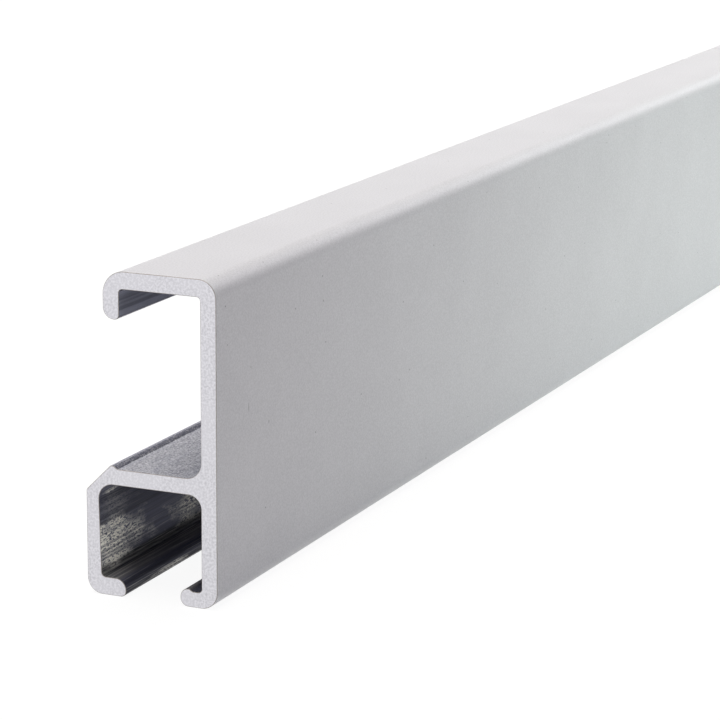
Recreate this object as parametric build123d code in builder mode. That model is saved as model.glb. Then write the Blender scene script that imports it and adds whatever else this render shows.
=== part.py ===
"""A picture-hanging rail: one aluminium extrusion, cut square to a stock length.

The section is drawn once and pushed along the rail. It has a tall front wall, a top wall that turns down
into a hook, a web across the middle, and a channel below the web that is open along its underside.
The hook and the bevelled back corner of the channel snap over clips on the wall. Hangers twist up into the
channel through the slot between its two lips, and slide along it.

Frame: +X along the rail, +Y from the front face to the wall behind, +Z up. The origin is under the middle
of the rail, at the level of the lips. Lengths are in millimetres.
"""

import os

from build123d import *

# Overall size. The depth is the sum of the channel's own sizes, below.
rail_length = 1000.0
rail_height = 28.0

# Walls
front_wall = 1.45
top_wall = 1.5
hook_wall = 1.5
web_wall = 1.4
channel_back_wall = 1.15  # under the web
channel_back_foot_wall = 1.35  # above the back lip
front_lip_wall = 1.35
back_lip_wall = 1.55

# Hook at the top of the back
hook_depth = 10.45  # front face to the hook's back
hook_drop = 4.1  # top face to the hook's end

# Channel for the hangers: the slot, with a lip on each side of it
channel_height = 8.15  # back lip to the web's underside
slot_width = 5.15
front_lip_overhang = 2.0
back_lip_overhang = 2.3

# Bevelled back corner, and the low ridge that stands along its top
bevel = 2.3
ridge_rise = 0.25
ridge_crest = 0.3
ridge_slope_run = 0.4

# Bead along the tip of the front lip
bead_rise = 0.2
bead_crest = 0.12  # flat top, before the tip's round
bead_slope_run = 0.3

# Radii of the outside corners
front_top_radius = 1.6
front_foot_radius = 1.5
hook_back_radius = 2.0
bevel_foot_radius = 0.3
back_foot_radius = 1.4

# Radii of the inside corners
pocket_radius = 0.35  # both corners under the top wall
web_top_fillet = 1.45
web_under_fillet = 1.2
channel_back_radius = 1.35
channel_floor_radius = 0.4
front_lip_root_radius = 0.35

# Radii of the free ends and small forms. An end's two rounds share its wall, less a narrow flat.
end_flat = 0.1
hook_end_front_radius = 0.4
back_lip_tip_radius = 0.5
ridge_radius = 0.12
bead_radius = 0.1

# Depths from the front face
front_lip_reach = front_wall + front_lip_overhang
back_lip_tip = front_lip_reach + slot_width
channel_back_foot = back_lip_tip + back_lip_overhang
rail_depth = channel_back_foot + channel_back_foot_wall
channel_back = rail_depth - channel_back_wall
hook_inside = hook_depth - hook_wall
bevel_top_depth = rail_depth - bevel
ridge_front_depth = bevel_top_depth - ridge_crest

# Levels above the base
channel_ceiling = back_lip_wall + channel_height
web_top = channel_ceiling + web_wall
ridge_top = web_top + ridge_rise
front_lip_top = front_lip_wall + bead_rise
pocket_ceiling = rail_height - top_wall
hook_end = rail_height - hook_drop

# What is left of each end's wall for its larger round
hook_end_back_radius = hook_wall - hook_end_front_radius - end_flat
back_lip_shoulder_radius = back_lip_wall - back_lip_tip_radius - end_flat
front_lip_tip_radius = (front_lip_top - end_flat) / 2
bead_front_depth = front_lip_reach - front_lip_tip_radius - bead_crest

# Each corner is its depth, its level and its radius, going once round the section
front = [
    (0, 0, front_foot_radius),
    (0, rail_height, front_top_radius),
]
hook = [
    (hook_depth, rail_height, hook_back_radius),
    (hook_depth, hook_end, hook_end_back_radius),
    (hook_inside, hook_end, hook_end_front_radius),
]
clip_pocket = [
    (hook_inside, pocket_ceiling, pocket_radius),
    (front_wall, pocket_ceiling, pocket_radius),
    (front_wall, web_top, web_top_fillet),
]
ridge = [
    (ridge_front_depth - ridge_slope_run, web_top, ridge_radius),
    (ridge_front_depth, ridge_top, ridge_radius),
    (bevel_top_depth, ridge_top, ridge_radius),
]
channel_outside = [
    (rail_depth, ridge_top - bevel, bevel_foot_radius),
    (rail_depth, 0, back_foot_radius),
]
back_lip = [
    (back_lip_tip, 0, back_lip_tip_radius),
    (back_lip_tip, back_lip_wall, back_lip_shoulder_radius),
]
channel_inside = [
    (channel_back_foot, back_lip_wall, channel_floor_radius),
    (channel_back, channel_ceiling, channel_back_radius),
    (front_wall, channel_ceiling, web_under_fillet),
    (front_wall, front_lip_wall, front_lip_root_radius),
]
front_lip = [
    (bead_front_depth - bead_slope_run, front_lip_wall, bead_radius),
    (bead_front_depth, front_lip_top, bead_radius),
    (front_lip_reach, front_lip_top, front_lip_tip_radius),
    (front_lip_reach, 0, front_lip_tip_radius),
]
corners = front + hook + clip_pocket + ridge + channel_outside + back_lip + channel_inside + front_lip

# The section stands across the rail, with the middle of its depth over the origin
section_plane = Plane(origin=(0, -rail_depth / 2, 0), x_dir=(0, 1, 0), z_dir=(1, 0, 0))

with BuildPart() as hanging_rail:
    with BuildSketch(section_plane):
        with BuildLine():
            FilletPolyline(
                *[(depth, level) for depth, level, _ in corners],
                radius=[radius for _, _, radius in corners],
                close=True,
            )
        make_face()
    extrude(amount=rail_length / 2, both=True)

hanging_rail.part.label = "hanging_rail"

os.makedirs("parts", exist_ok=True)
export_step(hanging_rail.part, "parts/hanging_rail.step")
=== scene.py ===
"""A picture-hanging rail: one length of satin coated aluminium extrusion, sawn square at both ends.

The section is drawn from its corners, pushed along the rail, and rounded edge by edge. The silver-white coat
is clean on the outside and thins out inside the clip pocket and the hanger channel, where bare mill-finish
metal shows. The sawn ends are pale and finely pitted.

Frame: +X along the rail, +Y from the front face to the wall behind, +Z up, in metres. The origin is under
the middle of the rail, at the level of the lips.
"""

import math
from typing import NamedTuple

import bmesh
import bpy
from bpy.props import FloatProperty, FloatVectorProperty, PointerProperty
from mathutils import Matrix, Vector
from mathutils.geometry import intersect_point_line


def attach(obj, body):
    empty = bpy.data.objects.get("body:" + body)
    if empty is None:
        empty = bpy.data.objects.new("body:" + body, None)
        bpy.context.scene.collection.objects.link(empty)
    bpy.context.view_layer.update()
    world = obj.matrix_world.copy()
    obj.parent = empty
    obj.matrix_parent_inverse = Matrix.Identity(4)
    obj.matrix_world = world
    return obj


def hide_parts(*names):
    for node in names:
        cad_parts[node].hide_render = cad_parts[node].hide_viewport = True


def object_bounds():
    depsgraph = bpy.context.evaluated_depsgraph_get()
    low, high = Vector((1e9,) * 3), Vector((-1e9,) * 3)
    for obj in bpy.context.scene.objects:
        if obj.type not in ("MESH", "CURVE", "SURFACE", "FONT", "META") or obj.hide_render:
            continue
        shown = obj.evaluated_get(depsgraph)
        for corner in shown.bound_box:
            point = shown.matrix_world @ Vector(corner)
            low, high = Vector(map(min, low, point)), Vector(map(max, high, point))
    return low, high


bl_info = {
    "name": "Picture-Hanging Rail",
    "version": (1, 0, 0),
    "blender": (4, 5, 0),
    "location": "View3D > Sidebar > Hanging Rail",
    "description": "Models a hooked and slotted aluminium rail with its finish, its studio and its camera",
    "category": "Add Mesh",
}

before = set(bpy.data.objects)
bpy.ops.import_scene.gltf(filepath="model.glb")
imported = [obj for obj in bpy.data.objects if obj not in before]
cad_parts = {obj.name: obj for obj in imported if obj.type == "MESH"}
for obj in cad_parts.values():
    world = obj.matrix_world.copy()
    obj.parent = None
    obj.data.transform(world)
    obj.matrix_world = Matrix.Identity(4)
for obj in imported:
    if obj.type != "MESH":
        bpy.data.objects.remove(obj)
CAD_LOW, CAD_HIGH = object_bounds()

MM = 0.001


def linear(hex_colour):
    """An sRGB hex colour as linear red, green, blue and alpha."""
    parts = [int(hex_colour[i:i + 2], 16) / 255 for i in (1, 3, 5)]
    return tuple(c / 12.92 if c <= 0.04045 else ((c + 0.055) / 1.055) ** 2.4 for c in parts) + (1.0,)


def length_of(label, default, about):
    """A size that a user can change, in metres."""
    return FloatProperty(name=label, description=about, default=default, min=0.0, precision=5,
                         unit="LENGTH", subtype="DISTANCE")


def share_of(label, default, about):
    """A share from 0 to 1 that a user can change."""
    return FloatProperty(name=label, description=about, default=default, min=0.0, max=1.0, subtype="FACTOR")


def colour_of(label, hex_colour, about):
    """A colour that a user can change."""
    return FloatVectorProperty(name=label, description=about, default=linear(hex_colour), size=4,
                               min=0.0, max=1.0, subtype="COLOR")


class RailSection(bpy.types.PropertyGroup):
    """Sizes of the section, which is the same all along the rail."""

    length: length_of("Length", CAD_HIGH.x - CAD_LOW.x, "Length of the rail between its sawn ends")
    height: length_of("Height", CAD_HIGH.z - CAD_LOW.z, "Undersides of the lips to the top face")
    depth: length_of("Depth", CAD_HIGH.y - CAD_LOW.y, "Front face to the back of the channel")

    front_wall: length_of("Front Wall", 1.45 * MM, "Thickness of the tall front wall")
    top_wall: length_of("Top Wall", 1.5 * MM, "Thickness of the top wall")
    hook_wall: length_of("Hook Wall", 1.5 * MM, "Thickness of the hook that hangs from the top wall")
    web_wall: length_of("Web", 1.4 * MM, "Thickness of the web between pocket and channel")
    back_wall: length_of("Back Wall", 1.15 * MM, "Thickness of the channel's back wall under the web")
    back_foot_wall: length_of("Back Wall Foot", 1.35 * MM, "Thickness of the back wall above its lip")
    front_lip_wall: length_of("Front Lip", 1.35 * MM, "Thickness of the front lip beside its bead")
    back_lip_wall: length_of("Back Lip", 1.55 * MM, "Thickness of the back lip")

    hook_depth: length_of("Hook Depth", 10.45 * MM, "Front face to the back of the hook")
    hook_drop: length_of("Hook Drop", 4.1 * MM, "Top face to the end of the hook")
    channel_height: length_of("Channel Height", 8.15 * MM, "Top of the back lip to the web's underside")
    front_lip_overhang: length_of("Front Lip Overhang", 2.0 * MM, "Reach of the front lip under the channel")
    slot: length_of("Slot", 5.15 * MM, "Open gap between the two lips")

    bevel: length_of("Bevel", 2.3 * MM, "Run and drop of the channel's bevelled back corner")
    ridge_rise: length_of("Ridge Rise", 0.25 * MM, "Height of the low ridge along the back of the web")
    ridge_crest: length_of("Ridge Crest", 0.3 * MM, "Flat width on top of the ridge")
    ridge_slope: length_of("Ridge Slope", 0.4 * MM, "Width of the ridge's slope down to the web")
    bead_rise: length_of("Bead Rise", 0.2 * MM, "Height of the bead along the tip of the front lip")
    bead_crest: length_of("Bead Crest", 0.12 * MM, "Flat width on top of the bead")
    bead_slope: length_of("Bead Slope", 0.3 * MM, "Width of the bead's slope down to the lip")

    front_top_radius: length_of("Front Top Radius", 1.6 * MM, "Outside corner of front and top")
    front_foot_radius: length_of("Front Foot Radius", 1.5 * MM, "Outside corner of front and front lip")
    hook_back_radius: length_of("Hook Back Radius", 2.0 * MM, "Outside corner of top and hook")
    hook_end_radius: length_of("Hook End Radius", 0.4 * MM, "Inner edge of the hook's end")
    pocket_radius: length_of("Pocket Radius", 0.35 * MM, "Both corners under the top wall")
    web_top_fillet: length_of("Web Top Fillet", 1.45 * MM, "Corner of the web's top and the front wall")
    web_under_fillet: length_of("Web Under Fillet", 1.2 * MM, "Corner of the web's underside and front wall")
    channel_back_radius: length_of("Channel Back Radius", 1.35 * MM, "Inside corner under the bevel")
    channel_floor_radius: length_of("Channel Floor Radius", 0.4 * MM, "Corner of the back wall and its lip")
    back_foot_radius: length_of("Back Foot Radius", 1.4 * MM, "Outside corner of back wall and back lip")
    back_tip_radius: length_of("Back Tip Radius", 0.5 * MM, "Lower edge of the back lip's tip")
    front_root_radius: length_of("Front Root Radius", 0.35 * MM, "Corner of the front wall and its lip")
    bevel_foot_radius: length_of("Bevel Foot Radius", 0.3 * MM, "Edge between the bevel and the back wall")
    ridge_radius: length_of("Ridge Radius", 0.12 * MM, "Edges of the ridge")
    bead_radius: length_of("Bead Radius", 0.1 * MM, "Edges of the bead's slope")
    end_flat: length_of("End Flat", 0.1 * MM, "Flat left between the two rounds of a free end")
    sawn_edge: length_of("Sawn Edge", 0.05 * MM, "Broken edge round the sawn ends")


class RailFinish(bpy.types.PropertyGroup):
    """Colours of the finish, and the sizes of its patterns."""

    coat: colour_of("Coat", "#E2E1E7", "Satin silver-white coat")
    coat_shade: colour_of("Coat Shade", "#CCCBD1", "Darker side of the coat's grains and faint clouds")
    speck: colour_of("Speck", "#8A8A90", "Dust specks, scratches and nicks in the coat")
    pocket_metal: colour_of("Pocket Metal", "#B4B5BF", "Clean mill-finish metal inside the pocket")
    # Partly painted shade: the channel's bare metal is drawn darker than the pocket's, for the shade deep in
    # the channel
    channel_metal_and_shade: colour_of("Channel Metal", "#6E6F80", "Dull mill-finish metal of the channel's walls")
    floor_metal: colour_of("Channel Floor Metal", "#A09EA1", "Rubbed mill-finish metal on the lips")
    groove: colour_of("Groove", "#2C2D33", "Dark lines that the die leaves along the metal")
    # Partly painted highlight: besides bright scratches and die lines, this colour paints the flecked
    # patches in the channel, a lamp's reflection
    scratch_and_highlight: colour_of("Scuff", "#F2F0EA", "Bright lines, and flecks where the bare metal is scuffed rough")
    sawn: colour_of("Sawn End", "#D7D6DA", "Pale metal of the sawn ends")
    sawn_shade: colour_of("Sawn End Shade", "#C0BFC3", "Fine pits and smears in the sawn ends")
    # Painted shade: the rim's dark colour stands in for the shade along the broken edge round the ends
    rim: colour_of("Sawn Rim", "#948F8B", "Dark edge that the saw leaves round the ends")

    # The real grains, scratches and pits, and the flecks of painted highlight, are finer than the render can
    # show, so all four are drawn as coarse as they need to be seen from the camera.
    grit: length_of("Grit", 0.16 * MM, "Width of the coat's grains")
    mottle: length_of("Mottle", 9.0 * MM, "Width of the coat's faint cloudiness")
    speck_spacing: length_of("Speck Spacing", 10.0 * MM, "Distance between dust specks")
    speck_radius: length_of("Speck Radius", 0.07 * MM, "Radius of a dust speck")
    die_line: length_of("Die Line", 0.25 * MM, "Width of the dark drawn lines along the bare metal")
    scratch: length_of("Scratch", 0.1 * MM, "Width of the bright scratches along the bare metal")
    # The flecks and their ragged patches are painted highlight, standing in for a lamp's reflection on the
    # bare metal
    fleck: length_of("Fleck", 0.11 * MM, "Spacing of the scuffed flecks in the channel")
    ragged: length_of("Ragged Edge", 1.6 * MM, "Width of the waves in a scuffed patch's edge")
    pit: length_of("Pit", 0.2 * MM, "Width of the sawn ends' pits")
    wipe: length_of("Wipe", 3.0 * MM, "Width of the stretches where the sawn ends are smeared smooth")
    relief: length_of("Relief", 0.01 * MM, "Height of the coat's grains and of the sawn ends' pits")

    web_cover: share_of("Cover on the Web", 0.45, "How much of the web's top the coat reaches")
    ridge_cover: share_of("Cover on the Ridge", 0.34, "How much of the ridge's slope and crest it reaches")
    pocket_cover: share_of("Cover in the Pocket", 0.1, "How much of the pocket's other faces it reaches")
    channel_cover: share_of("Cover in the Channel", 0.04, "How much of the channel's faces it reaches")
    coat_roughness: share_of("Coat Roughness", 0.38, "Roughness of the coat")
    metal_roughness: share_of("Bare Metal Roughness", 0.6, "Roughness of the bare drawn metal")
    # Roughness added in the patches of painted highlight
    highlight_roughness: share_of("Scuff Roughness", 0.4, "What a scuff adds to that roughness")
    sawn_roughness: share_of("Sawn End Roughness", 0.55, "Roughness of the sawn ends")
    rim_roughness: share_of("Sawn Rim Roughness", 0.6, "Roughness of the edge round the sawn ends")


class RailStudio(bpy.types.PropertyGroup):
    """The floor, the lamps and the camera."""

    floor_size: length_of("Floor", 40.0, "Width of the floor")
    floor_colour: colour_of("Floor Colour", "#F2F2F2", "Pale floor, as it lights the rail")
    floor_shade: share_of("Floor Shade", 0.12, "Share of the floor's look that keeps shadows")
    floor_glow: share_of("Floor Glow", 0.93, "Share of the floor's look that is plain white")
    world_fill: share_of("World Fill", 0.05, "Strength of the even light from all round")
    world_tint: colour_of("World Tint", "#B8B8FF", "Cool tint of that even light")
    camera_lens: FloatProperty(name="Lens", description="Focal length on a 36 mm sensor", default=143.0,
                               min=1.0, unit="CAMERA", subtype="NONE")


def section_runs(s, f):
    """The section's corners, once round from the foot of the front face.

    Each has its depth from the front face, its level above the base, its radius, and the share of the run
    that leaves it that the coat covers.
    """
    pocket_ceiling = s.height - s.top_wall
    hook_end = s.height - s.hook_drop
    hook_inside = s.hook_depth - s.hook_wall
    channel_ceiling = s.back_lip_wall + s.channel_height
    web_top = channel_ceiling + s.web_wall
    ridge_top = web_top + s.ridge_rise
    bevel_top = s.depth - s.bevel
    ridge_front = bevel_top - s.ridge_crest
    channel_back = s.depth - s.back_wall
    channel_foot = s.depth - s.back_foot_wall
    front_tip = s.front_wall + s.front_lip_overhang
    back_tip = front_tip + s.slot
    front_lip_top = s.front_lip_wall + s.bead_rise
    hook_end_back_radius = s.hook_wall - s.hook_end_radius - s.end_flat
    back_shoulder_radius = s.back_lip_wall - s.back_tip_radius - s.end_flat
    front_tip_radius = (front_lip_top - s.end_flat) / 2
    bead_front = front_tip - front_tip_radius - s.bead_crest

    outside, pocket, web, ridge, channel = 1.0, f.pocket_cover, f.web_cover, f.ridge_cover, f.channel_cover
    return [
        (0.0, 0.0, s.front_foot_radius, outside),
        (0.0, s.height, s.front_top_radius, outside),
        (s.hook_depth, s.height, s.hook_back_radius, outside),
        (s.hook_depth, hook_end, hook_end_back_radius, outside),
        (hook_inside, hook_end, s.hook_end_radius, pocket),
        (hook_inside, pocket_ceiling, s.pocket_radius, pocket),
        (s.front_wall, pocket_ceiling, s.pocket_radius, pocket),
        (s.front_wall, web_top, s.web_top_fillet, web),
        (ridge_front - s.ridge_slope, web_top, s.ridge_radius, ridge),
        (ridge_front, ridge_top, s.ridge_radius, ridge),
        (bevel_top, ridge_top, s.ridge_radius, outside),
        (s.depth, ridge_top - s.bevel, s.bevel_foot_radius, outside),
        (s.depth, 0.0, s.back_foot_radius, outside),
        (back_tip, 0.0, s.back_tip_radius, channel),
        (back_tip, s.back_lip_wall, back_shoulder_radius, channel),
        (channel_foot, s.back_lip_wall, s.channel_floor_radius, channel),
        (channel_back, channel_ceiling, s.channel_back_radius, channel),
        (s.front_wall, channel_ceiling, s.web_under_fillet, channel),
        (s.front_wall, s.front_lip_wall, s.front_root_radius, channel),
        (bead_front - s.bead_slope, s.front_lip_wall, s.bead_radius, channel),
        (bead_front, front_lip_top, s.bead_radius, channel),
        (front_tip, front_lip_top, front_tip_radius, channel),
        (front_tip, 0.0, front_tip_radius, outside),
    ]


ARC_STEP = 0.06 * MM  # length of the facets that a rounded edge is made of
LEAST_FACETS = 3
SAWN_EDGE_FACETS = 2


def turn_at(before, corner, after):
    """The angle that the outline turns through at a corner."""
    return (corner - before).angle(after - corner)


def extrude_section(bm, outline, length):
    """Draws the outline as one face at the left end and pushes it along the rail. Returns the long edges."""
    left = [bm.verts.new(place) for place in outline]
    section = bm.faces.new(left)
    pushed = bmesh.ops.extrude_face_region(bm, geom=[section], use_keep_orig=True)
    right = [v for v in pushed["geom"] if isinstance(v, bmesh.types.BMVert)]
    bmesh.ops.translate(bm, verts=right, vec=(length, 0.0, 0.0))
    return [next(e for e in v.link_edges if e.other_vert(v) in right) for v in left]


def round_long_edges(bm, edges, outline, radii):
    """Gives each long edge its own radius."""
    for i, (edge, radius) in enumerate(zip(edges, radii)):
        turn = turn_at(outline[i - 1], outline[i], outline[(i + 1) % len(outline)])
        facets = max(LEAST_FACETS, round(radius * turn / ARC_STEP))
        bmesh.ops.bevel(bm, geom=[edge], offset=radius * math.tan(turn / 2), offset_type="OFFSET",
                        affect="EDGES", segments=facets, profile=0.5, material=-1, clamp_overlap=False)


COATED, SAWN, RIM = range(3)  # the rail's materials
SQUARE_ON = 0.99  # a face whose normal has more X than this is a sawn end
SLANTED = 0.01  # and one with more than this is part of the broken edge round it


def material_at(face):
    """Which material a face shows, by how far it turns towards the rail's ends."""
    turned = abs(face.normal.x)
    if turned > SQUARE_ON:
        return SAWN
    return RIM if turned > SLANTED else COATED


def write_cover(bm, outline, covers, layer):
    """Sets on each vertex how much of the finish it carries, blended between the nearest two runs."""
    runs = [(outline[i], outline[(i + 1) % len(outline)], cover) for i, cover in enumerate(covers)]
    for v in bm.verts:
        here = Vector((outline[0].x, v.co.y, v.co.z))
        near = []
        for start, stop, cover in runs:
            _, along = intersect_point_line(here, start, stop)
            gap = (here - start.lerp(stop, min(max(along, 0.0), 1.0))).length
            near.append((gap, cover))
        (gap_a, cover_a), (gap_b, cover_b) = sorted(near)[:2]
        share = gap_a / (gap_a + gap_b) if gap_a + gap_b else 0.0
        v[layer] = cover_a + (cover_b - cover_a) * share


def add_node(tree, kind, inputs=(), **settings):
    """Adds a node with its settings. Each input is a value, or the socket that feeds it."""
    made = tree.nodes.new(kind)
    for name, value in settings.items():
        setattr(made, name, value)
    for name, value in dict(inputs).items():
        if isinstance(value, bpy.types.NodeSocket):
            tree.links.new(value, made.inputs[name])
        else:
            made.inputs[name].default_value = value
    return made


# A colour Mix node's sockets, which share their names with its other types
FACTOR, COLOUR_A, COLOUR_B, COLOUR = 0, 6, 7, 2


def new_material(name):
    """An empty node material, and its tree."""
    material = bpy.data.materials.new(name)
    material.use_nodes = True
    material.node_tree.nodes.clear()
    return material, material.node_tree


def mix_colours(tree, factor, a, b):
    """The colour that the factor picks between a and b."""
    return add_node(tree, "ShaderNodeMix", {FACTOR: factor, COLOUR_A: a, COLOUR_B: b},
                    data_type="RGBA").outputs[COLOUR]


def cloud_noise(tree, place, width, detail=2.0):
    """Soft noise whose features are about this wide."""
    return add_node(tree, "ShaderNodeTexNoise",
                    {"Vector": place, "Scale": 1 / width, "Detail": detail}).outputs["Fac"]


def drawn_along(tree, place, times):
    """Coordinates that draw a pattern out along the rail."""
    return add_node(tree, "ShaderNodeMapping",
                    {"Vector": place, "Scale": (1 / times, 1.0, 1.0)}).outputs["Vector"]


def span(tree, value, limits, start=0.0, stop=1.0, kind="LINEAR"):
    """The value's place between two limits, carried over to start and stop."""
    low, high = limits
    return add_node(tree, "ShaderNodeMapRange",
                    {"Value": value, "From Min": low, "From Max": high, "To Min": start, "To Max": stop},
                    interpolation_type=kind).outputs["Result"]


def combine(tree, operation, a, b):
    """Two values put together by a Math node."""
    return add_node(tree, "ShaderNodeMath", {0: a, 1: b}, operation=operation).outputs["Value"]


def away_from(tree, place, s, centre, half_size):
    """How far each place is from a spot, where 1 is on its edge.

    The centre is a distance from the left end, a depth and a level.
    """
    distance, depth, level = centre
    centred = add_node(tree, "ShaderNodeMapping", {
        "Vector": place, "Location": (distance - s.length / 2, depth - s.depth / 2, level),
        "Scale": half_size}, vector_type="TEXTURE")
    return add_node(tree, "ShaderNodeVectorMath", {0: centred.outputs["Vector"]},
                    operation="LENGTH").outputs["Value"]


# Dark nicks in the coat of the front face: distance from the left end, level, half length, half height
NICKS = (
    (2.1 * MM, 22.25 * MM, 0.1 * MM, 0.08 * MM),
    (6.0 * MM, 16.1 * MM, 0.07 * MM, 0.5 * MM),
    (6.45 * MM, 19.45 * MM, 0.09 * MM, 0.1 * MM),
    (9.9 * MM, 13.95 * MM, 0.08 * MM, 0.2 * MM),
    (20.75 * MM, 24.55 * MM, 0.12 * MM, 0.1 * MM),
    (21.0 * MM, 22.3 * MM, 0.12 * MM, 0.12 * MM),
)
NICK_DEPTH = 0.3 * MM  # reach of a nick across the rail
NICK_STRENGTH = 0.75
NICK_EDGE = (0.6, 1.0)  # where it fades, as shares of its half size


def nicked(tree, place, s):
    """How strongly each place on the front face is nicked."""
    total = 0.0
    for distance, level, half_length, half_height in NICKS:
        away = away_from(tree, place, s, (distance, 0.0, level), (half_length, NICK_DEPTH, half_height))
        total = combine(tree, "ADD", total, span(tree, away, NICK_EDGE, NICK_STRENGTH, 0.0))
    return total


SPECK_EDGE = (0.6, 1.4)  # soft edge of a speck, in radii
SCRATCH_DRAW = (0.3, 0.1, 1.0)  # spreads the specks out, and draws each into a short upright scratch


def specks(tree, flat, spacing, radius):
    """1 on small specks scattered over a flat pattern at about this spacing, and 0 between them."""
    cells = add_node(tree, "ShaderNodeTexVoronoi", {"Vector": flat, "Scale": 1 / spacing},
                     voronoi_dimensions="2D")
    edge = [share * radius / spacing for share in SPECK_EDGE]
    return span(tree, cells.outputs["Distance"], edge, 1.0, 0.0)


def dust(tree, axes, f):
    """1 on the dust specks and short scratches in the coat, and 0 between them.

    The pattern runs on the distance along the rail and on depth plus level, so it lies flat on the front and
    on the top alike.
    """
    across = combine(tree, "ADD", axes["Y"], axes["Z"])
    flat = add_node(tree, "ShaderNodeCombineXYZ", {"X": axes["X"], "Y": across}).outputs["Vector"]
    tall = add_node(tree, "ShaderNodeMapping", {"Vector": flat, "Scale": SCRATCH_DRAW}).outputs["Vector"]
    return combine(tree, "MAXIMUM", specks(tree, flat, f.speck_spacing, f.speck_radius),
                   specks(tree, tall, f.speck_spacing, SCRATCH_DRAW[0] * f.speck_radius))


NOISE_RANGE = (0.3, 0.7)  # nearly all of a noise's values lie between these
CLOUD_SHARE = 0.2  # how much of the coat's shading is cloudiness, and the rest is grain


def coat_colour(tree, place, axes, grit, s, f):
    """The coat's colour, with its grain, its faint clouds, and the dark specks and nicks in it."""
    clouds = cloud_noise(tree, place, f.mottle, detail=3.0)
    tone = combine(tree, "ADD", span(tree, clouds, NOISE_RANGE, 0.0, CLOUD_SHARE),
                   span(tree, grit, NOISE_RANGE, 0.0, 1.0 - CLOUD_SHARE))
    clean = mix_colours(tree, tone, tuple(f.coat_shade), tuple(f.coat))
    marked = combine(tree, "MAXIMUM", dust(tree, axes, f), nicked(tree, place, s))
    return mix_colours(tree, marked, clean, tuple(f.speck))


# Tones of the bare metal from the top of the back lip up: how far above it, and the name of the colour
TONES_ABOVE_LIP = (
    (0.0, "floor_metal"),
    (0.1 * MM, "groove"),
    (0.22 * MM, "scratch_and_highlight"),
    (0.34 * MM, "groove"),
    (0.5 * MM, "floor_metal"),
    (0.62 * MM, "groove"),
    (1.2 * MM, "channel_metal_and_shade"),
)
LIP_TIP = (0.3, 0.9)  # shares of the back lip's height between which its tip turns from dark to plain
POCKET_FOOT = (0.5 * MM, 2.0 * MM)  # heights above the web between which the pocket's metal turns from the channel's darker tone, partly painted shade, to its own lighter one


def metal_by_level(tree, level, s, f):
    """The bare metal's colour at each level, from the lips up to the top of the pocket."""
    lip = s.back_lip_wall
    web_top = lip + s.channel_height + s.web_wall
    bands = [(LIP_TIP[0] * lip, f.groove), (LIP_TIP[1] * lip, f.channel_metal_and_shade)]
    bands += [(lip + rise, getattr(f, tone)) for rise, tone in TONES_ABOVE_LIP]
    bands += [(web_top + POCKET_FOOT[0], f.channel_metal_and_shade), (web_top + POCKET_FOOT[1], f.pocket_metal)]
    ramp = add_node(tree, "ShaderNodeValToRGB", {"Fac": span(tree, level, (0.0, s.height))})
    stops = ramp.color_ramp.elements
    for _ in bands[len(stops):]:
        stops.new(1.0)
    for stop, (height, colour) in zip(stops, bands):
        stop.position = height / s.height
        stop.color = tuple(colour)
    return ramp.outputs["Color"]


# Bright lines that the die leaves along the top of the back lip: depth, level, half width
DIE_LINES = (
    (10.45 * MM, 1.57 * MM, 0.09 * MM),
    (10.05 * MM, 1.55 * MM, 0.06 * MM),
)
DIE_LINE_STRENGTH = 0.5
DIE_LINE_EDGE = (0.5, 1.0)  # where a line fades, as shares of its half width


def die_lined(tree, place, s):
    """How bright the die's lines are at each place. They run the whole length of the rail."""
    total = 0.0
    for depth, level, half_width in DIE_LINES:
        away = away_from(tree, place, s, (s.length / 2, depth, level), (s.length, half_width, half_width))
        total = combine(tree, "ADD", total, span(tree, away, DIE_LINE_EDGE, DIE_LINE_STRENGTH, 0.0))
    return total


SCRATCHES = (0.56, 0.74)  # the part of the noise that shows as scratches
SCRATCHES_DRAWN = 60.0  # how many times longer than wide they are
SCRATCHED_LEVELS = (2.5 * MM, 5.0 * MM)  # between these, strong scratches give way to weak ones
STRONG_SCRATCHES = 0.4
WEAK_SCRATCHES = 0.12


def scratched(tree, place, level, s, f):
    """How bright the scratches and the die's lines along the bare metal are at each place."""
    fine = cloud_noise(tree, drawn_along(tree, place, SCRATCHES_DRAWN), f.scratch, detail=1.0)
    strength = span(tree, level, SCRATCHED_LEVELS, STRONG_SCRATCHES, WEAK_SCRATCHES)
    scratches = combine(tree, "MULTIPLY", span(tree, fine, SCRATCHES), strength)
    return combine(tree, "MAXIMUM", scratches, die_lined(tree, place, s))


# Patches of painted highlight on the bare metal inside the channel, standing in for a lamp's reflection:
# distance from the left end, depth, level, half length, half height, and how strong the highlight is
HIGHLIGHT_PATCHES = (
    (2.2 * MM, 11.05 * MM, 4.0 * MM, 7.4 * MM, 2.3 * MM, 1.2),
    (18.0 * MM, 11.05 * MM, 3.5 * MM, 5.6 * MM, 2.0 * MM, 1.0),
    (3.0 * MM, 11.05 * MM, 7.0 * MM, 4.2 * MM, 1.5 * MM, 0.3),
    (2.0 * MM, 11.0 * MM, 8.65 * MM, 2.0 * MM, 0.25 * MM, 1.0),
    (7.8 * MM, 8.65 * MM, 0.5 * MM, 3.6 * MM, 0.25 * MM, 0.7),
)
HIGHLIGHT_DEPTH = 0.6 * MM  # reach of a patch of painted highlight across the rail
HIGHLIGHT_EDGE = (0.4, 1.1)  # where a patch fades, as shares of its half size
RAGGEDNESS = (-0.35, 0.5)  # what the waves in its edge add to that
WAVES_DRAWN = 2.0  # how many times longer than wide the waves are
FLECKS = (0.52, 0.76)  # the part of each cell that shows as a fleck
FLECKS_DRAWN = 3.0
FLECKED_LINES = (0.42, 0.54)  # the flecks fade where the drawn lines are dark
FADED_FLECKS = 0.4


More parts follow.
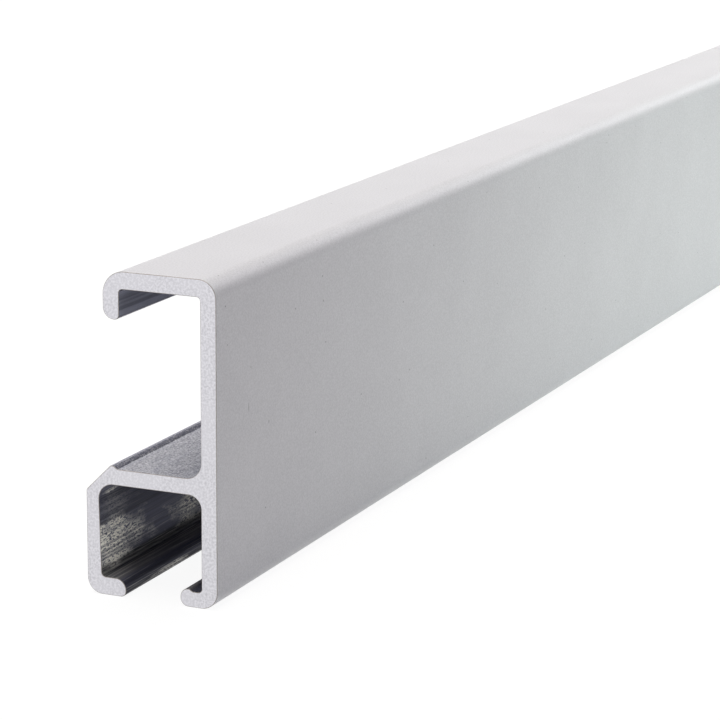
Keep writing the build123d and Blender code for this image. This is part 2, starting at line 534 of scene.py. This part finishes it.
def highlight_flecks(tree, place, lines, s, f):
    """How strongly each place in the channel carries the painted highlight of a lamp's reflection.

    The patches have ragged edges, and the flecks in them lie mostly between the dark drawn lines.
    """
    waves = cloud_noise(tree, drawn_along(tree, place, WAVES_DRAWN), f.ragged, detail=5.0)
    ragged = span(tree, waves, NOISE_RANGE, *RAGGEDNESS)
    patches = 0.0
    for distance, depth, level, half_length, half_height, strength in HIGHLIGHT_PATCHES:
        away = away_from(tree, place, s, (distance, depth, level), (half_length, HIGHLIGHT_DEPTH, half_height))
        edge = combine(tree, "ADD", away, ragged)
        patches = combine(tree, "ADD", patches, span(tree, edge, HIGHLIGHT_EDGE, strength, 0.0))
    drawn = drawn_along(tree, place, FLECKS_DRAWN)
    cells = add_node(tree, "ShaderNodeTexVoronoi", {"Vector": drawn, "Scale": 1 / f.fleck})
    flecks = combine(tree, "MULTIPLY", span(tree, cells.outputs["Distance"], FLECKS, 1.0, 0.0),
                     span(tree, lines, FLECKED_LINES, FADED_FLECKS, 1.0))
    return combine(tree, "MINIMUM", combine(tree, "MULTIPLY", patches, flecks), 1.0)


DARK_LINES = (0.38, 0.62)  # the part of the noise over which a drawn line fades
DARK_LINE_STRENGTH = 0.42
DARK_LINES_DRAWN = 100.0
COVER_EDGE = (0.7, 1.3)  # cover plus grain where the coat starts to show, and where it is whole


def coated_aluminium(s, f):
    """Satin silver-white powder coat on mill-finish extrusion.

    The sprayed and baked coat gives even, silky, nearly white faces with a fine grain, a few dust specks and
    nicks. Where the spray didn't reach, the drawn metal shows with lines along the rail; its dark tone in
    the channel is partly painted shade, and the ragged patches of bright flecks there are painted highlight.
    """
    material, tree = new_material("satin_powder_coat_on_mill_finish_aluminium")
    place = add_node(tree, "ShaderNodeTexCoord").outputs["Object"]
    axes = add_node(tree, "ShaderNodeSeparateXYZ", {"Vector": place}).outputs
    grit = cloud_noise(tree, place, f.grit)
    lines = cloud_noise(tree, drawn_along(tree, place, DARK_LINES_DRAWN), f.die_line, detail=4.0)

    coat = coat_colour(tree, place, axes, grit, s, f)
    bare = mix_colours(tree, span(tree, lines, DARK_LINES, DARK_LINE_STRENGTH, 0.0),
                       metal_by_level(tree, axes["Z"], s, f), tuple(f.groove))
    bare = mix_colours(tree, scratched(tree, place, axes["Z"], s, f), bare, tuple(f.scratch_and_highlight))
    # Painted highlight: ragged patches of bright flecks near the sawn end, for a lamp's reflection on the
    # bare metal
    highlit = highlight_flecks(tree, place, lines, s, f)
    bare = mix_colours(tree, highlit, bare, tuple(f.scratch_and_highlight))

    cover = add_node(tree, "ShaderNodeAttribute", attribute_name="finish_cover").outputs["Fac"]
    covered = span(tree, combine(tree, "ADD", cover, grit), COVER_EDGE, kind="SMOOTHSTEP")
    roughness = combine(tree, "ADD", span(tree, covered, (0.0, 1.0), f.metal_roughness, f.coat_roughness),
                        span(tree, highlit, (0.0, 1.0), 0.0, f.highlight_roughness))
    relief = add_node(tree, "ShaderNodeBump", {"Height": grit, "Distance": f.relief, "Strength": 0.7})
    shader = add_node(tree, "ShaderNodeBsdfPrincipled", {
        "Base Color": mix_colours(tree, covered, bare, coat),
        "Metallic": span(tree, covered, (0.0, 1.0), 1.0, 0.0),
        "Roughness": roughness,
        "Normal": relief.outputs["Normal"],
    })
    add_node(tree, "ShaderNodeOutputMaterial", {"Surface": shader.outputs["BSDF"]})
    return material


PITS = (0.35, 0.6)  # the part of the noise over which a pit gives way to smooth metal
WIPED = (0.4, 0.6)  # and over which a smeared stretch starts
WIPED_SMOOTH = 0.5


def sawn_aluminium(f):
    """Freshly sawn aluminium: a pale matt face, broken up by fine pits, and smeared smoother in places."""
    material, tree = new_material("fresh_sawn_aluminium")
    place = add_node(tree, "ShaderNodeTexCoord").outputs["Object"]
    pits = span(tree, cloud_noise(tree, place, f.pit, detail=5.0), PITS)
    wiped = span(tree, cloud_noise(tree, place, f.wipe), WIPED, 0.0, WIPED_SMOOTH)
    smooth = combine(tree, "MAXIMUM", pits, wiped)
    relief = add_node(tree, "ShaderNodeBump", {"Height": smooth, "Distance": f.relief, "Strength": 0.5})
    shader = add_node(tree, "ShaderNodeBsdfPrincipled", {
        "Base Color": mix_colours(tree, smooth, tuple(f.sawn_shade), tuple(f.sawn)),
        "Metallic": 1.0,
        "Roughness": f.sawn_roughness,
        "Normal": relief.outputs["Normal"],
    })
    add_node(tree, "ShaderNodeOutputMaterial", {"Surface": shader.outputs["BSDF"]})
    return material


def sawn_rim_aluminium(f):
    """Deburred aluminium round a sawn end, coloured dark as painted shade along the thin broken edge."""
    material, tree = new_material("deburred_rim_aluminium")
    shader = add_node(tree, "ShaderNodeBsdfPrincipled",
                      {"Base Color": tuple(f.rim), "Metallic": 1.0, "Roughness": f.rim_roughness})
    add_node(tree, "ShaderNodeOutputMaterial", {"Surface": shader.outputs["BSDF"]})
    return material


class HANGINGRAIL_OT_extrusion(bpy.types.Operator):
    """Draw the section, push it along the rail and round its edges"""

    bl_idname = "hanging_rail.extrusion"
    bl_label = "Extrude Rail"

    def execute(self, context):
        s = context.scene.rail_section
        f = context.scene.rail_finish
        runs = section_runs(s, f)
        outline = [Vector((-s.length / 2, depth - s.depth / 2, level)) for depth, level, _, _ in runs]

        bm = bmesh.new()
        cover = bm.verts.layers.float.new("finish_cover")
        edges = extrude_section(bm, outline, s.length)
        round_long_edges(bm, edges, outline, [radius for _, _, radius, _ in runs])
        bmesh.ops.recalc_face_normals(bm, faces=bm.faces)
        rims = [e for face in bm.faces if material_at(face) == SAWN for e in face.edges]
        bmesh.ops.bevel(bm, geom=rims, offset=s.sawn_edge, offset_type="OFFSET", affect="EDGES",
                        segments=SAWN_EDGE_FACETS, profile=0.5, material=-1, clamp_overlap=False)
        bmesh.ops.recalc_face_normals(bm, faces=bm.faces)
        write_cover(bm, outline, [share for _, _, _, share in runs], cover)
        for face in bm.faces:
            face.smooth = True
            face.material_index = material_at(face)

        mesh = bpy.data.meshes.new("rail")
        bm.to_mesh(mesh)
        bm.free()
        mesh.materials.append(coated_aluminium(s, f))
        mesh.materials.append(sawn_aluminium(f))
        mesh.materials.append(sawn_rim_aluminium(f))
        rail = bpy.data.objects.new("rail", mesh)
        context.scene.collection.objects.link(rail)
        rail.modifiers.new("Even Shading", "WEIGHTED_NORMAL").weight = 100

        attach(rail, "root")
        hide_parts("hanging_rail")
        return {"FINISHED"}


class Lamp(NamedTuple):
    """A rectangular lamp: place, target and size in metres, spread in degrees and power in watts."""

    place: tuple
    target: tuple
    width: float
    height: float
    spread: float
    power: float
    colour: str


LAMPS = {
    # Lights the top face, and the floor round the rail
    "overhead_softbox": Lamp(place=(0.0, 0.15, 1.3), target=(0.0, 0.0, 0.0), width=2.2, height=1.2,
                             spread=180, power=23.0, colour="#FFFCF3"),
    # Lights the sawn end
    "end_softbox": Lamp(place=(-1.2, 0.3, 0.35), target=(CAD_LOW.x, 0.0, CAD_HIGH.z / 2), width=0.5,
                        height=0.5, spread=180, power=1.1, colour="#F2F2FF"),
    # Brightens the front face away from the sawn end
    "front_strip": Lamp(place=(0.115, -0.6, 0.12), target=(0.115, 0.0, 0.014), width=1.1, height=0.2,
                        spread=20, power=0.258, colour="#EEFFF2"),
    # Lays a highlight along the rounded top edge of the front
    "far_softbox": Lamp(place=(1.0, -0.3, 0.62), target=(-0.4, 0.0, 0.02), width=0.5, height=0.6,
                        spread=180, power=1.7, colour="#FAF8FF"),
}


def aim(place, target):
    """The turn that points a lamp's or a camera's -Z from its place to the target, with its top up."""
    return (target - place).to_track_quat("-Z", "Y").to_matrix().to_4x4()


def ray_is(tree, *kinds):
    """1 for these kinds of ray, and 0 for the rest."""
    path = add_node(tree, "ShaderNodeLightPath").outputs
    found = 0.0
    for kind in kinds:
        found = combine(tree, "MAXIMUM", found, path[f"Is {kind} Ray"])
    return found


def white_floor(studio):
    """A pale floor that shows nearly white to the camera and in reflections, and keeps a faint shadow."""
    material, tree = new_material("studio_floor")
    plain = add_node(tree, "ShaderNodeBsdfDiffuse", {"Color": tuple(studio.floor_colour)})
    shade = studio.floor_shade
    shaded = add_node(tree, "ShaderNodeBsdfDiffuse", {"Color": (shade, shade, shade, 1.0)})
    glow = add_node(tree, "ShaderNodeEmission", {"Strength": studio.floor_glow})
    lifted = add_node(tree, "ShaderNodeAddShader", {0: shaded.outputs["BSDF"], 1: glow.outputs["Emission"]})
    surface = add_node(tree, "ShaderNodeMixShader", {
        0: ray_is(tree, "Camera", "Glossy"), 1: plain.outputs["BSDF"], 2: lifted.outputs["Shader"]})
    add_node(tree, "ShaderNodeOutputMaterial", {"Surface": surface.outputs["Shader"]})
    return material


def soft_world(scene):
    """White to the camera and in reflections, and a low even light on everything else."""
    world = bpy.data.worlds.new("studio_world")
    scene.world = world
    world.use_nodes = True
    tree = world.node_tree
    tree.nodes.clear()
    seen = ray_is(tree, "Camera", "Glossy", "Transmission")
    strength = span(tree, seen, (0.0, 1.0), scene.rail_studio.world_fill, 1.0)
    tint = mix_colours(tree, seen, tuple(scene.rail_studio.world_tint), linear("#FFFFFF"))
    light = add_node(tree, "ShaderNodeBackground", {"Color": tint, "Strength": strength})
    add_node(tree, "ShaderNodeOutputWorld", {"Surface": light.outputs["Background"]})


class HANGINGRAIL_OT_studio(bpy.types.Operator):
    """Lay the floor, hang the lamps and light the background"""

    bl_idname = "hanging_rail.studio"
    bl_label = "Build Studio"

    def execute(self, context):
        scene = context.scene
        studio = scene.rail_studio
        bm = bmesh.new()
        bmesh.ops.create_grid(bm, x_segments=1, y_segments=1, size=studio.floor_size / 2)
        mesh = bpy.data.meshes.new("floor")
        bm.to_mesh(mesh)
        bm.free()
        mesh.materials.append(white_floor(studio))
        floor = bpy.data.objects.new("floor", mesh)
        scene.collection.objects.link(floor)

        for name, lamp in LAMPS.items():
            light = bpy.data.lights.new(name, "AREA")
            light.shape = "RECTANGLE"
            light.size = lamp.width
            light.size_y = lamp.height
            light.spread = math.radians(lamp.spread)
            light.energy = lamp.power
            light.color = linear(lamp.colour)[:3]
            held = bpy.data.objects.new(name, light)
            place = Vector(lamp.place)
            held.matrix_world = Matrix.Translation(place) @ aim(place, Vector(lamp.target))
            held.visible_camera = False
            scene.collection.objects.link(held)

        soft_world(scene)
        scene.view_settings.view_transform = "Standard"
        return {"FINISHED"}


# The camera stands left of the rail's near end, in front of it and above it
CAMERA_FROM_CORNER = Vector((-202.44, -101.99, 75.16)) * MM  # from the foot of the front face's left edge
CAMERA_YAW = math.radians(23.78)  # from +X towards +Y
CAMERA_PITCH = math.radians(-13.33)
CAMERA_ROLL = math.radians(0.4)
SENSOR_WIDTH = 36.0
CLIP_START = 10.0 * MM


class HANGINGRAIL_OT_camera(bpy.types.Operator):
    """Stand the camera near the rail's left end, looking along it"""

    bl_idname = "hanging_rail.camera"
    bl_label = "Place Camera"

    def execute(self, context):
        scene = context.scene
        lens = bpy.data.cameras.new("camera")
        lens.lens = scene.rail_studio.camera_lens
        lens.sensor_width = SENSOR_WIDTH
        lens.clip_start = CLIP_START
        camera = bpy.data.objects.new("camera", lens)
        place = CAD_LOW + CAMERA_FROM_CORNER
        ahead = Vector((math.cos(CAMERA_YAW) * math.cos(CAMERA_PITCH),
                        math.sin(CAMERA_YAW) * math.cos(CAMERA_PITCH),
                        math.sin(CAMERA_PITCH)))
        roll = Matrix.Rotation(CAMERA_ROLL, 4, "Z")
        camera.matrix_world = Matrix.Translation(place) @ aim(place, place + ahead) @ roll
        scene.collection.objects.link(camera)
        scene.camera = camera
        return {"FINISHED"}


class HANGINGRAIL_PT_sidebar(bpy.types.Panel):
    """Lists the rail's sizes, finish and studio, with a button for each step"""

    bl_idname = "HANGINGRAIL_PT_sidebar"
    bl_label = "Hanging Rail"
    bl_space_type = "VIEW_3D"
    bl_region_type = "UI"
    bl_category = "Hanging Rail"

    def draw(self, context):
        for title, group, step in (
            ("Section", context.scene.rail_section, HANGINGRAIL_OT_extrusion.bl_idname),
            ("Finish", context.scene.rail_finish, None),
            ("Studio", context.scene.rail_studio, HANGINGRAIL_OT_studio.bl_idname),
            ("Camera", None, HANGINGRAIL_OT_camera.bl_idname),
        ):
            column = self.layout.box().column()
            column.label(text=title)
            for name in group.__annotations__ if group else ():
                column.prop(group, name)
            if step:
                column.operator(step)


CLASSES = (
    RailSection,
    RailFinish,
    RailStudio,
    HANGINGRAIL_OT_extrusion,
    HANGINGRAIL_OT_studio,
    HANGINGRAIL_OT_camera,
    HANGINGRAIL_PT_sidebar,
)


def register():
    for cls in CLASSES:
        bpy.utils.register_class(cls)
    bpy.types.Scene.rail_section = PointerProperty(type=RailSection)
    bpy.types.Scene.rail_finish = PointerProperty(type=RailFinish)
    bpy.types.Scene.rail_studio = PointerProperty(type=RailStudio)


def unregister():
    del bpy.types.Scene.rail_studio
    del bpy.types.Scene.rail_finish
    del bpy.types.Scene.rail_section
    for cls in reversed(CLASSES):
        bpy.utils.unregister_class(cls)


def main():
    register()
    bpy.ops.hanging_rail.extrusion()
    bpy.ops.hanging_rail.studio()
    bpy.ops.hanging_rail.camera()


if __name__ == "__main__":
    main()
